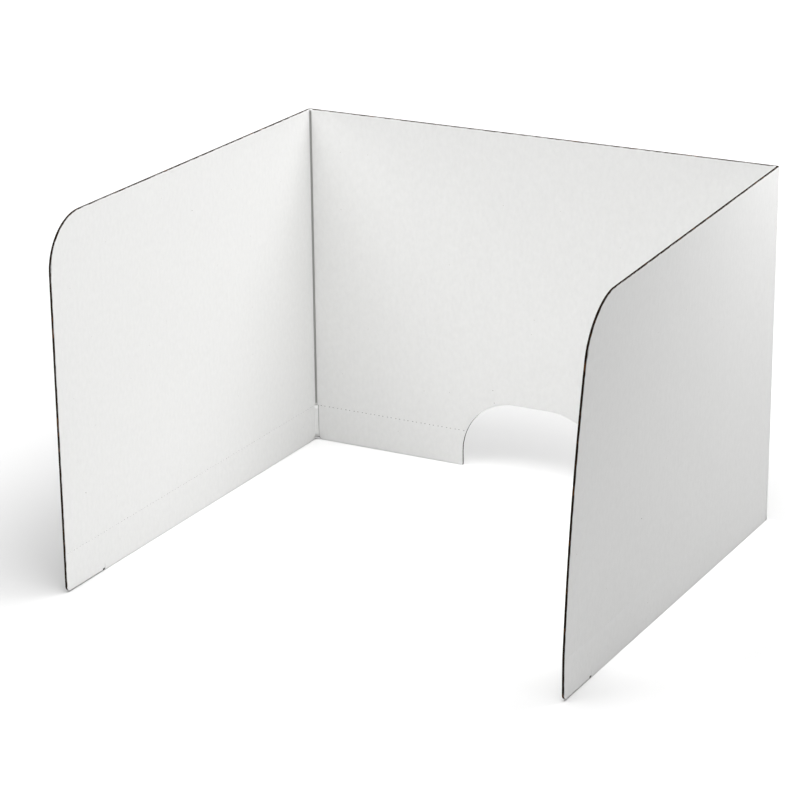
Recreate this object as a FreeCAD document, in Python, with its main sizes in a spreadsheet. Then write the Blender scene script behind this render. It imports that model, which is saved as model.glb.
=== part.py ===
import FreeCAD, Part
import math
import os
import re
import Sketcher
from FreeCAD import Matrix, Placement, Rotation, Vector

# A folding desktop study carrel, die-cut from one sheet of white-lined corrugated board: a back
# panel with an arched cable cut-out, and a wing at each side of it.  The board is three papers
# glued together, an inner liner, a fluted medium and an outer liner, and each is its own node.
# Four vertical-fluted strips run along the foot of the panels, below a cut-crease.
#
# Row frame, in millimetres: X runs along the back panel, Y from the open front to the back,
# Z up.  The origin is on the desk, under the middle of the box that the carrel fills, and that
# box takes in the lean of the right wing.
# Each panel is drawn in a board frame: x along the sheet from its fold, y through the board
# from its near face, z up, and is then turned and moved into place.

DRIVING_SIZES = (
    # the whole carrel
    ("carrel_height", 457.2),
    ("back_width", 647.7),          # between the inner faces of the two wings
    ("wing_depth", 590.6),          # from the back panel's inner face to a wing's front edge
    ("wing_flare", 32.0),           # how far the right wing's top front corner leans out
    # the board
    ("board", 3.0),
    ("liner", 0.3),
    ("medium", 0.25),
    ("glue_line", 0.02),            # between a flute's crest and the liner
    ("flute_pitch", 6.35),
    # the die-cut outline
    ("top_corner", 63.5),           # radius of a wing's top front corner
    ("toe_corner", 7.0),            # radius of a wing's bottom front corner
    ("toe_lift", 1.0),              # a wing's bottom edge stands this high in front of its nick
    ("nick_width", 4.0),
    ("nick_rise", 2.6),
    ("left_nick_setback", 77.5),    # from a wing's front edge to its nick
    ("right_nick_setback", 68.0),
    ("arch_width", 203.2),
    ("arch_rise", 95.0),
    ("arch_corner", 76.2),
    ("strip_height", 48.5),         # the cut-crease is this high above the desk
    ("relief_radius", 14.0),        # the shallow round relief at the foot of each vertical fold
    ("relief_rise", 3.5),
    # the folds
    ("fold_clearance", 0.5),        # from a fold line to the end of each panel's papers
    ("strip_setback", 3.5),         # from a fold line to the end of each strip
    ("crease_radius", 2.5),         # outside radius of the outer liner round a fold
)

doc = FreeCAD.newDocument("study_carrel")
sizes = doc.addObject("Spreadsheet::Sheet", "sizes")
for row, (alias, number) in enumerate(DRIVING_SIZES, start=1):
    sizes.set(f"A{row}", str(number))
    sizes.setAlias(f"A{row}", alias)
doc.recompute()

ALIASES = {alias for alias, number in DRIVING_SIZES}
UP = Vector(0, 0, 1)

# Sizes that several outlines share, in words of the sheet.
ARCH_MIDDLE = "back_width / 2"
ARCH_CENTRE_OFFSET = "(arch_width / 2 - arch_corner)"
ARCH_CENTRE_HEIGHT = "(arch_rise - arch_corner)"
ARCH_HALF_AT_CREASE = (
    f"({ARCH_CENTRE_OFFSET} + sqrt(arch_corner ^ 2 - (strip_height - {ARCH_CENTRE_HEIGHT}) ^ 2))"
)
RELIEF_DROP = "(relief_radius - relief_rise)"
RELIEF_RUN = f"sqrt(relief_radius ^ 2 - {RELIEF_DROP} ^ 2)"
RELIEF_AT_SETBACK = f"(sqrt(relief_radius ^ 2 - strip_setback ^ 2) - {RELIEF_DROP})"
INNER_FACE = "(wing_depth - board) / 2"
LEFT_FOLD = "-(back_width + wing_flare) / 2"
RIGHT_FOLD = "(back_width - wing_flare) / 2"

TRIM_MARGIN = "flute_pitch"         # a leaning liner is this much too long at each end, then trimmed

ANTICLOCKWISE = 1
CLOCKWISE = -1


def bound(words):
    """An expression on the sheet's cells, from words that name them."""
    return re.sub("[a-z_]+", lambda m: f"sizes.{m[0]}" if m[0] in ALIASES else m[0], words)


def value(words):
    """What such words come to, in millimetres."""
    return float(sizes.evalExpression(words))


def origin_plane(body, role):
    """One of a body's own origin planes."""
    return next(plane for plane in body.Origin.OriginFeatures if plane.Role == role)


def add_corner_arc(sketch, start, end, radius, turn):
    """An arc of a circle from start to end, and which of its ends start and end are."""
    chord = end - start
    left = Vector(-chord.y, chord.x, 0).normalize()
    reach = math.sqrt(radius ** 2 - (chord.Length / 2) ** 2)
    centre = (start + end) / 2 + left * (turn * reach)
    first, last = (start, end) if turn == ANTICLOCKWISE else (end, start)
    angles = [math.atan2(point.y - centre.y, point.x - centre.x) for point in (first, last)]
    sketch.addGeometry(Part.ArcOfCircle(Part.Circle(centre, UP, radius), *angles))
    return (1, 2) if turn == ANTICLOCKWISE else (2, 1)


def draw_outline(sketch, corners):
    """A closed outline.  A corner is (x, y) in words, or (x, y, radius, turn) where an arc leaves it."""
    points = [Vector(value(corner[0]), value(corner[1]), 0) for corner in corners]
    ends = []
    for index, corner in enumerate(corners):
        start = points[index]
        end = points[(index + 1) % len(points)]
        if len(corner) == 2:
            sketch.addGeometry(Part.LineSegment(start, end))
            ends.append((1, 2))
        else:
            ends.append(add_corner_arc(sketch, start, end, value(corner[2]), corner[3]))
    for index, corner in enumerate(corners):
        after = (index + 1) % len(corners)
        start, end = ends[index]
        sketch.addConstraint(Sketcher.Constraint("Coincident", index, end, after, ends[after][0]))
        tie(sketch, Sketcher.Constraint("DistanceX", -1, 1, index, start, points[index].x), corner[0])
        tie(sketch, Sketcher.Constraint("DistanceY", -1, 1, index, start, points[index].y), corner[1])
        if len(corner) > 2:
            tie(sketch, Sketcher.Constraint("Radius", index, value(corner[2])), corner[2])


def tie(sketch, constraint, words):
    """Adds a dimension to a sketch and binds it to the sheet."""
    index = sketch.addConstraint(constraint)
    sketch.setExpression(f"Constraints[{index}]", bound(words))


def padded_outline(label, role, corners, depth):
    """A body padded from an outline: from XZ_Plane along +Y, or from XY_Plane along +Z."""
    body = doc.addObject("PartDesign::Body", label)
    body.Label = label
    sketch = body.newObject("Sketcher::SketchObject", f"{label}_sketch")
    sketch.AttachmentSupport = [(origin_plane(body, role), "")]
    sketch.MapMode = "FlatFace"
    draw_outline(sketch, corners)
    pad = body.newObject("PartDesign::Pad", f"{label}_pad")
    pad.Profile = sketch
    pad.Reversed = role == "XZ_Plane"
    pad.setExpression("Length", bound(depth))
    return body


def place(piece, across, along, height, turn):
    """Turns a piece about Z, and moves it to a place given in words."""
    piece.Placement = Placement(Vector(), Rotation(UP, turn))
    for axis, words in zip("xyz", (across, along, height)):
        piece.setExpression(f"Placement.Base.{axis}", bound(words))


# ---------------------------------------------------------------- outlines, in the board frame

def wing_outline():
    """A wing above the cut-crease, with its large rounded top front corner."""
    return [
        ("fold_clearance", "strip_height"),
        ("wing_depth", "strip_height"),
        ("wing_depth", "carrel_height - top_corner", "top_corner", ANTICLOCKWISE),
        ("wing_depth - top_corner", "carrel_height"),
        ("fold_clearance", "carrel_height"),
    ]


def wing_strip_outline(nick_setback):
    """A wing's foot strip: relief at the fold, nick, then a toe that stands a little higher."""
    nick = f"(wing_depth - {nick_setback})"
    return [
        (RELIEF_RUN, "0"),
        (f"{nick} - nick_width / 2", "0"),
        (f"{nick} - nick_width / 2", "nick_rise"),
        (f"{nick} + nick_width / 2", "nick_rise"),
        (f"{nick} + nick_width / 2", "toe_lift"),
        ("wing_depth - toe_corner", "toe_lift", "toe_corner", ANTICLOCKWISE),
        ("wing_depth", "toe_lift + toe_corner"),
        ("wing_depth", "strip_height"),
        ("strip_setback", "strip_height"),
        ("strip_setback", RELIEF_AT_SETBACK, "relief_radius", CLOCKWISE),
    ]


def back_outline():
    """The back panel above the cut-crease, open at the arch."""
    return [
        ("fold_clearance", "strip_height"),
        (f"{ARCH_MIDDLE} - {ARCH_HALF_AT_CREASE}", "strip_height", "arch_corner", CLOCKWISE),
        (f"{ARCH_MIDDLE} - {ARCH_CENTRE_OFFSET}", "arch_rise"),
        (f"{ARCH_MIDDLE} + {ARCH_CENTRE_OFFSET}", "arch_rise", "arch_corner", CLOCKWISE),
        (f"{ARCH_MIDDLE} + {ARCH_HALF_AT_CREASE}", "strip_height"),
        ("back_width - fold_clearance", "strip_height"),
        ("back_width - fold_clearance", "carrel_height"),
        ("fold_clearance", "carrel_height"),
    ]


def back_strip_outline():
    """One of the two foot strips of the back panel, from its fold to the arch's jamb."""
    jamb = f"{ARCH_MIDDLE} - arch_width / 2"
    return [
        (RELIEF_RUN, "0"),
        (jamb, "0"),
        (jamb, ARCH_CENTRE_HEIGHT, "arch_corner", CLOCKWISE),
        (f"{ARCH_MIDDLE} - {ARCH_HALF_AT_CREASE}", "strip_height"),
        ("strip_setback", "strip_height"),
        ("strip_setback", RELIEF_AT_SETBACK, "relief_radius", CLOCKWISE),
    ]


def crease_outline():
    """The outer liner round the left fold, seen from above, with the inner corner at 0, 0."""
    return [
        ("-board", "-fold_clearance"),
        ("liner - board", "-fold_clearance"),
        ("liner - board", "board - crease_radius", "crease_radius - liner", CLOCKWISE),
        ("crease_radius - board", "board - liner"),
        ("fold_clearance", "board - liner"),
        ("fold_clearance", "board"),
        ("crease_radius - board", "board", "crease_radius", ANTICLOCKWISE),
        ("-board", "board - crease_radius"),
    ]


# ------------------------------------------------------------------------------- the papers

def flute_arcs(pitch, waves, swing, offset):
    """One face of the fluted medium, as tangent arcs that turn up and down by the same radius."""
    half_angle = 2 * math.atan(2 * swing / pitch)
    radius = pitch / (4 * math.sin(half_angle))
    middle = value("board / 2")
    arcs = []
    for index in range(2 * waves):
        side = 1 if index % 2 else -1
        centre = Vector((index + 0.5) * pitch / 2, middle + side * (swing / 2 - radius), 0)
        reach = radius + side * offset
        points = [
            centre + Vector(reach * math.sin(angle), side * reach * math.cos(angle), 0)
            for angle in (-half_angle, 0, half_angle)
        ]
        arcs.append(Part.Arc(*points).toShape())
    return arcs


def flute_section(length):
    """The section of the fluted medium over a length, a whole number of flutes."""
    waves = max(1, round(length / value("flute_pitch")))
    swing = value("board - 2 * liner - medium - 2 * glue_line")
    half_medium = value("medium / 2")
    upper = flute_arcs(length / waves, waves, swing, half_medium)
    lower = flute_arcs(length / waves, waves, swing, -half_medium)
    ends = [
        Part.makeLine(upper[0].Vertexes[0].Point, lower[0].Vertexes[0].Point),
        Part.makeLine(upper[-1].Vertexes[-1].Point, lower[-1].Vertexes[-1].Point),
    ]
    return Part.Wire(Part.__sortEdges__(upper + lower + ends))


def straight_flutes(label, length):
    """The fluted medium of a flat sheet, as high as the carrel."""
    flutes = doc.addObject("Part::Feature", label)
    flutes.Shape = Part.Face(flute_section(length)).extrude(UP * value("carrel_height"))
    return flutes


def leaned(section, height):
    """A section raised to a height, where it leans out with its distance from the fold."""
    lean = Matrix()
    share = value(f"({height} - strip_height) / (carrel_height - strip_height)")
    lean.A21 = share * value("wing_flare / wing_depth")
    lean.A34 = value(height)
    return section.transformGeometry(lean)


def flared(section):
    """A section lofted from the cut-crease, where it is flat, to the leaning top."""
    return Part.makeLoft([leaned(section, end) for end in ("strip_height", "carrel_height")], True, True)


def flared_sheet(label, near, far):
    """The leaning wing's liner before it is trimmed, between two distances through the board."""
    start, near, far = value(f"-{TRIM_MARGIN}"), value(near), value(far)
    end = value(f"wing_depth + {TRIM_MARGIN}")
    corners = [(start, near), (end, near), (end, far), (start, far), (start, near)]
    sheet = doc.addObject("Part::Feature", label)
    sheet.Shape = flared(Part.makePolygon([Vector(x, y, 0) for x, y in corners]))
    return sheet


def flared_flutes(label):
    """The fluted medium of the flared wing."""
    flutes = doc.addObject("Part::Feature", label)
    flutes.Shape = flared(flute_section(value("wing_depth")))
    return flutes


def trimmed(label, paper, outline):
    """A paper cut to its panel's outline."""
    piece = doc.addObject("Part::Common", label)
    piece.Label = label
    piece.Base = paper
    piece.Tool = outline
    return piece


# ------------------------------------------------------------------------------- the panels

NEAR_FACE = "0"
FAR_LINER = "(board - liner)"


def flat_panel(name, corners, flutes, stand):
    """The three papers of a flat panel or strip.  stand says where it stands."""
    across, along, turn, near_is_inner = stand
    to_far = {0: ("0", FAR_LINER), -90: (FAR_LINER, "0"), 180: ("0", f"-{FAR_LINER}")}[turn]
    near, far = ("inner", "outer") if near_is_inner else ("outer", "inner")
    liners = [
        padded_outline(f"{name}_{side}_liner", "XZ_Plane", corners, "liner") for side in (near, far)
    ]
    place(liners[0], across, along, "0", turn)
    place(liners[1], f"{across} + {to_far[0]}", f"{along} + {to_far[1]}", "0", turn)
    blank = padded_outline(f"{name}_blank", "XZ_Plane", corners, "board")
    medium = trimmed(f"{name}_fluted_medium", flutes, blank)
    place(medium, across, along, "0", turn)
    return liners + [medium]


def flared_panel(name, corners, stand):
    """The three papers of the wing that leans out towards its top front corner."""
    across, along, turn, near_is_inner = stand
    near, far = ("inner", "outer") if near_is_inner else ("outer", "inner")
    papers = (
        (f"{name}_{near}_liner", flared_sheet(f"{name}_near_sheet", NEAR_FACE, "liner")),
        (f"{name}_{far}_liner", flared_sheet(f"{name}_far_sheet", FAR_LINER, "board")),
        (f"{name}_fluted_medium", flared_flutes(f"{name}_flutes")),
    )
    blank = padded_outline(f"{name}_blank", "XZ_Plane", corners, "board + 2 * wing_flare")
    place(blank, "0", "-wing_flare / 2", "0", 0)
    pieces = [trimmed(label, paper, blank) for label, paper in papers]
    for piece in pieces:
        place(piece, across, along, "0", turn)
    return pieces


# Where each stands: the place of its fold's foot, its turn about Z, and whether its near face
# is the inner one.
LEFT_STAND = (f"{LEFT_FOLD} - board", INNER_FACE, -90, False)
RIGHT_STAND = (RIGHT_FOLD, INNER_FACE, -90, True)
BACK_STAND = (LEFT_FOLD, INNER_FACE, 0, True)
BACK_STAND_FROM_RIGHT = (RIGHT_FOLD, f"{INNER_FACE} + board", 180, False)

wing_flutes = straight_flutes("wing_flutes", value("wing_depth"))
back_flutes = straight_flutes("back_flutes", value("back_width"))
pieces = (
    flat_panel("back_panel", back_outline(), back_flutes, BACK_STAND)
    + flat_panel("left_wing", wing_outline(), wing_flutes, LEFT_STAND)
    + flared_panel("right_wing", wing_outline(), RIGHT_STAND)
    + flat_panel("left_strip", wing_strip_outline("left_nick_setback"), wing_flutes, LEFT_STAND)
    + flat_panel("right_strip", wing_strip_outline("right_nick_setback"), wing_flutes, RIGHT_STAND)
    + flat_panel("back_left_strip", back_strip_outline(), back_flutes, BACK_STAND)
    + flat_panel("back_right_strip", back_strip_outline(), back_flutes, BACK_STAND_FROM_RIGHT)
)
for side, fold, turn in (("left", LEFT_FOLD, 0), ("right", RIGHT_FOLD, -90)):
    crease = padded_outline(
        f"{side}_fold_crease", "XY_Plane", crease_outline(), "carrel_height - relief_rise"
    )
    place(crease, fold, INNER_FACE, "relief_rise", turn)
    pieces.append(crease)

# -------------------------------------------------------------------------- check and write

doc.recompute()
faults = [item.Name for item in doc.Objects if {"Invalid", "Error"} & set(item.State)]
for piece in pieces:
    if piece.Shape.isNull() or not piece.Shape.isValid() or len(piece.Shape.Solids) != 1:
        faults.append(piece.Label)
if faults:
    raise RuntimeError(f"these failed to build: {faults}")

os.makedirs("parts", exist_ok=True)
for piece in pieces:
    piece.Shape.exportStep(f"parts/{piece.Label}.step")
    print(f"{piece.Label}: {piece.Shape.Volume:.1f} mm3, {len(piece.Shape.Faces)} faces")
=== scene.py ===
import math

import bmesh
import bpy
import numpy as np
from mathutils import Matrix, Vector


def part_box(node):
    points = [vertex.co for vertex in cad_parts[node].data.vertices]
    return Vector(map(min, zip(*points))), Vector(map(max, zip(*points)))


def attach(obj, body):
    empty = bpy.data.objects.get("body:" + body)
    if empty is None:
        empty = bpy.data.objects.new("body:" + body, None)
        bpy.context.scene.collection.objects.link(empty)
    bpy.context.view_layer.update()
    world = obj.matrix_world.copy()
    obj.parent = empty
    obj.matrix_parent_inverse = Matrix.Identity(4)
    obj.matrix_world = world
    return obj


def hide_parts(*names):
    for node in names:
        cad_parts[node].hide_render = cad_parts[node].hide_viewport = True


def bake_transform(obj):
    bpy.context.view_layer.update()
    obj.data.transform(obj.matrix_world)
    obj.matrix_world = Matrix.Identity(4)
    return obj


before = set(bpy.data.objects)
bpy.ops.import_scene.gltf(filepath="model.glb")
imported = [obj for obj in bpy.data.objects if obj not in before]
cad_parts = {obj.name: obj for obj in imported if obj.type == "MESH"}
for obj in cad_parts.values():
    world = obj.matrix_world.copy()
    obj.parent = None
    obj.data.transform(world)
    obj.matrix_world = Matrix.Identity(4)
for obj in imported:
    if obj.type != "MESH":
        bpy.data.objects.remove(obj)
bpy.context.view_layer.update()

# A folding desktop study carrel, die-cut from one sheet of white-lined corrugated board.
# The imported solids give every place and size.  The papers are made again here as the real ones
# are: each is cut to its outline, the fluted medium is pressed into waves, and the whole board
# is pinched a little where the die cut it.
#
# Board frame: x along the sheet from its fold, y through the board from its inner face to its
# outer one, z up from the desk.

MM = 0.001

# ------------------------------------------------------------------- sizes from the solids


def low(node):
    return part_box(node)[0]


def high(node):
    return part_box(node)[1]


INNER_Y = low("back_panel_inner_liner").y
BOARD = high("back_panel_outer_liner").y - INNER_Y
LINER = high("left_wing_inner_liner").x - low("left_wing_inner_liner").x
LEFT_FOLD_X = high("left_wing_inner_liner").x
RIGHT_FOLD_X = low("right_strip_inner_liner").x
BACK_WIDTH = RIGHT_FOLD_X - LEFT_FOLD_X
WING_DEPTH = INNER_Y - low("left_wing_inner_liner").y
TOP = high("back_panel_inner_liner").z
CREASE = low("back_panel_inner_liner").z
FOLD_FOOT = low("left_fold_crease").z
STRIP_SETBACK = INNER_Y - high("left_strip_inner_liner").y

# Sizes of the die and of the board that no box gives.
TOP_CORNER = 63.5 * MM
TOE_CORNER = 7.0 * MM
TOE_LIFT = 1.0 * MM
NICK_WIDTH = 4.0 * MM
NICK_RISE = 2.6 * MM
LEFT_NICK_SETBACK = 77.5 * MM
RIGHT_NICK_SETBACK = 68.0 * MM
ARCH_WIDTH = 203.2 * MM
ARCH_RISE = 95.0 * MM
ARCH_CORNER = 76.2 * MM
RELIEF_RADIUS = 14.0 * MM
OUTER_BEND = 2.5 * MM
OUTER_START_ABOVE = 0.5 * MM     # the panels' outer papers start this far from the fold
FLUTE_PITCH = 6.35 * MM
MEDIUM = 0.25 * MM

ARCH_MIDDLE = BACK_WIDTH / 2
ARCH_CENTRE_OFFSET = ARCH_WIDTH / 2 - ARCH_CORNER
ARCH_CENTRE_HEIGHT = ARCH_RISE - ARCH_CORNER
RELIEF_DROP = RELIEF_RADIUS - FOLD_FOOT
RELIEF_RUN = math.sqrt(RELIEF_RADIUS ** 2 - RELIEF_DROP ** 2)

# Above its cut-crease the right wing bows outwards towards its top front corner.
LEAN_SLOPE = 0.0315              # at its front edge
LEAN_CURVE = 0.0929              # per metre

# ------------------------------------------------------------------------------ small tools


def linear(hex_colour):
    """An sRGB hex colour as linear RGBA."""
    channels = [int(hex_colour[i:i + 2], 16) / 255 for i in (1, 3, 5)]
    return [c / 12.92 if c <= 0.04045 else ((c + 0.055) / 1.055) ** 2.4 for c in channels] + [1.0]


def add_node(tree, kind, inputs=(), **settings):
    """Adds a node, with its settings, and its inputs as values or as other nodes' outputs."""
    node = tree.nodes.new(kind)
    for name, setting in settings.items():
        setattr(node, name, setting)
    for key, given in dict(inputs).items():
        if isinstance(given, bpy.types.NodeSocket):
            tree.links.new(given, node.inputs[key])
        else:
            node.inputs[key].default_value = given
    return node


def link_object(name, mesh):
    piece = bpy.data.objects.new(name, mesh)
    bpy.context.scene.collection.objects.link(piece)
    return piece


def recalculate_normals(mesh):
    shape = bmesh.new()
    shape.from_mesh(mesh)
    bmesh.ops.recalc_face_normals(shape, faces=shape.faces)
    shape.to_mesh(mesh)
    shape.free()


# -------------------------------------------------------------------------------- materials

# A Mix node's share is socket 0, its two numbers are 2 and 3, and its two colours are 6 and 7.
# Where the coat cracks off along free edges; round a nick this is painted shade.
CRACKED_COAT_AND_SHADE_ATTRIBUTE = "cracked_coat"
# The score's grey share: partly rubbed coat, partly painted shade in its groove.
SCORE_GREY_AND_SHADE_ATTRIBUTE = "score"

# How many of each pattern's marks a metre holds, from the real size of one.
CLOUDS_PER_METRE = 200.0         # 5 mm
SPECK_CELLS_PER_METRE = 25.0     # 40 mm
BARE_SPOTS_PER_METRE = 110.0     # 9 mm
NAP_PER_METRE = 850.0            # 1.2 mm, coarser than real so that it shows
FIBRES_PER_METRE = 700.0         # 1.4 mm, coarser than real so that they show
CUT_FIBRES_PER_METRE = 1500.0    # 0.7 mm
TUFTS_PER_METRE = 90.0           # 11 mm

WEB_STRETCH = (1.0, 1.0, 0.6)    # clouds are drawn out along the paper's web
CELLS_WITHOUT_SPECK = 0.88       # as a share
SPECK_REACH = 0.009              # of a cell's side, so a speck is 0.7 mm wide
NAP_HEIGHT = 0.05 * MM


def new_material(name):
    """A material with one principled shader, and its tree and shader."""
    material = bpy.data.materials.new(name)
    material.use_nodes = True
    tree = material.node_tree
    tree.nodes.clear()
    shader = add_node(tree, "ShaderNodeBsdfPrincipled")
    add_node(tree, "ShaderNodeOutputMaterial", {"Surface": shader.outputs["BSDF"]})
    return material, tree, shader


def white_liner_material():
    """White-top liner, bleached and calendered: matt, a little cloudy, with a few pulp specks."""
    material, tree, shader = new_material("bleached_white_top_liner_calendered")
    place = add_node(tree, "ShaderNodeTexCoord").outputs["Object"]
    # Pulp clouds, as light shows them in calendered paper.
    web = add_node(tree, "ShaderNodeMapping", {"Vector": place, "Scale": WEB_STRETCH})
    clouds = add_node(tree, "ShaderNodeTexNoise", {
        "Vector": web.outputs[0], "Scale": CLOUDS_PER_METRE, "Detail": 3.0, "Roughness": 0.6})
    # Pulp specks: some cells of a grid over the sheet hold one.
    parts = add_node(tree, "ShaderNodeSeparateXYZ", {0: place})
    along = add_node(tree, "ShaderNodeMath", {0: parts.outputs["X"], 1: parts.outputs["Y"]},
                     operation="ADD")
    flat = add_node(tree, "ShaderNodeCombineXYZ", {0: along.outputs[0], 1: parts.outputs["Z"]})
    cells = add_node(tree, "ShaderNodeTexVoronoi",
                     {"Vector": flat.outputs[0], "Scale": SPECK_CELLS_PER_METRE},
                     voronoi_dimensions="2D")
    chance = add_node(tree, "ShaderNodeSeparateColor", {0: cells.outputs["Color"]})
    chosen = add_node(tree, "ShaderNodeMath", {0: chance.outputs["Red"], 1: CELLS_WITHOUT_SPECK},
                      operation="GREATER_THAN")
    near = add_node(tree, "ShaderNodeMath", {0: cells.outputs["Distance"], 1: SPECK_REACH},
                    operation="LESS_THAN")
    speck = add_node(tree, "ShaderNodeMath", {0: chosen.outputs[0], 1: near.outputs[0]},
                     operation="MULTIPLY")
    # Where the scoring wheel crushed the board the coat is painted grey: partly rubbed coat,
    # partly painted shade in the score's groove.
    score = add_node(tree, "ShaderNodeAttribute", attribute_name=SCORE_GREY_AND_SHADE_ATTRIBUTE)
    # Along the free edges it cracks off the brown pulp, more in some places than in others; round
    # a nick the same brown is painted shade.
    cracked_and_shaded = add_node(tree, "ShaderNodeAttribute", attribute_name=CRACKED_COAT_AND_SHADE_ATTRIBUTE)
    spots = add_node(tree, "ShaderNodeTexNoise",
                     {"Vector": place, "Scale": BARE_SPOTS_PER_METRE, "Detail": 1.0})
    spot = add_node(tree, "ShaderNodeMapRange", {
        "Value": spots.outputs["Fac"], "From Min": 0.35, "From Max": 0.6,
        "To Min": 0.45, "To Max": 1.0})
    bare_and_shaded = add_node(tree, "ShaderNodeMath", {0: cracked_and_shaded.outputs["Fac"], 1: spot.outputs[0]},
                    operation="MULTIPLY")
    colour = linear("#e1e1e0")
    for share, over in ((clouds.outputs["Fac"], "#ececeb"), (speck.outputs[0], "#a39e94"),
                        (score.outputs["Fac"], "#b2b2b0"), (bare_and_shaded.outputs[0], "#2e241b")):
        colour = add_node(tree, "ShaderNodeMix", {0: share, 6: colour, 7: linear(over)},
                          data_type="RGBA").outputs[2]
    tree.links.new(colour, shader.inputs["Base Color"])
    # Fibre nap.
    nap = add_node(tree, "ShaderNodeTexNoise",
                   {"Vector": place, "Scale": NAP_PER_METRE, "Detail": 3.0})
    bump = add_node(tree, "ShaderNodeBump",
                    {"Height": nap.outputs["Fac"], "Strength": 0.12, "Distance": NAP_HEIGHT})
    tree.links.new(bump.outputs[0], shader.inputs["Normal"])
    shader.inputs["Roughness"].default_value = 0.72
    return material


def kraft_material(name, dark, light, fibres_per_metre, tuft=None):
    """Unbleached kraft or fluting: brown, matt and fibrous, perhaps with tufts of torn fibre."""
    material, tree, shader = new_material(name)
    place = add_node(tree, "ShaderNodeTexCoord").outputs["Object"]
    fibres = add_node(tree, "ShaderNodeTexNoise", {
        "Vector": place, "Scale": fibres_per_metre, "Detail": 4.0, "Roughness": 0.65})
    coats = [(fibres.outputs["Fac"], light)]
    if tuft:
        places = add_node(tree, "ShaderNodeTexNoise",
                          {"Vector": place, "Scale": TUFTS_PER_METRE, "Detail": 1.0})
        share = add_node(tree, "ShaderNodeMapRange",
                         {"Value": places.outputs["Fac"], "From Min": 0.62, "From Max": 0.7})
        coats.append((share.outputs[0], tuft))
    colour = linear(dark)
    for share, over in coats:
        colour = add_node(tree, "ShaderNodeMix", {0: share, 6: colour, 7: linear(over)},
                          data_type="RGBA").outputs[2]
    tree.links.new(colour, shader.inputs["Base Color"])
    shader.inputs["Roughness"].default_value = 0.9
    # Open fibres hold no gloss.
    shader.inputs["Specular IOR Level"].default_value = 0.1
    return material


TUFT = "#6e4727"
WHITE_LINER = white_liner_material()
# Unbleached kraft on the glued side: a warm brown painted dark, as painted shade where it shows in
# the reliefs and under the folds.
SHADED_KRAFT_BACK = kraft_material("kraft_glued_side_painted_shade", "#261a12", "#41301f", FIBRES_PER_METRE)
# Semichemical pulp, pressed hot between fluted rolls, with torn tufts at its ends: painted darker
# still, as painted shade of the open flutes.
SHADED_FLUTING = kraft_material("fluting_painted_shade", "#1a120c", "#39291b",
                         FIBRES_PER_METRE, TUFT)
# Bark left in the pulp: a warm grey dot.
BARK_SPECK = kraft_material("bark_speck_in_pulp", "#6f6a60", "#8b857a", FIBRES_PER_METRE)
# Cut paper edges: brown kraft painted nearly black, as painted shade of the open flutes between
# the liners.
SHADED_CUT_EDGE = kraft_material("die_cut_edge_painted_shade", "#0f0b08", "#251b14", CUT_FIBRES_PER_METRE, TUFT)

# ------------------------------------------------------------------ a paper, from its sheet

CUT_EDGE_ATTRIBUTE = "cut_edge_distance"
COAT_GONE_AND_SHADED_TO = 0.5 * MM          # from a free edge
COAT_CRACKED_AND_SHADED_TO = 0.9 * MM
EDGE_STEPS = np.array([0.0, 0.5, 0.9, 1.5, 2.6]) * MM
PRESS_FALLOFF = 1.6              # how fast the die's pinch dies away from the cut, as a power
STEEPEST_FACING = 0.68           # a flute's flank turns this far from the board, as a cosine
AT_CREASE = 0.01 * MM            # points this near the cut-crease's height lie on it
WELD = 0.0005 * MM               # a paper's two faces meet at its edge within this
PAPER_INPUTS = (
    ("Through board", "NodeSocketFloat"),
    ("Paper thickness", "NodeSocketFloat"),
    ("Flute pitch", "NodeSocketFloat"),
    ("Flute height", "NodeSocketFloat"),
    ("Edge reach", "NodeSocketFloat"),
    ("Edge press", "NodeSocketFloat"),
    ("Edge flattening", "NodeSocketFloat"),
    ("Slit pitch", "NodeSocketFloat"),
    ("First slit", "NodeSocketFloat"),
    ("Slit end", "NodeSocketFloat"),
    ("Slit end reach", "NodeSocketFloat"),
    ("Slit opening", "NodeSocketFloat"),
    ("Crease height", "NodeSocketFloat"),
    ("Wing depth", "NodeSocketFloat"),
    ("Lean slope", "NodeSocketFloat"),
    ("Lean curve", "NodeSocketFloat"),
    ("Near face", "NodeSocketMaterial"),
    ("Far face", "NodeSocketMaterial"),
    ("Cut edge", "NodeSocketMaterial"),
)


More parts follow.
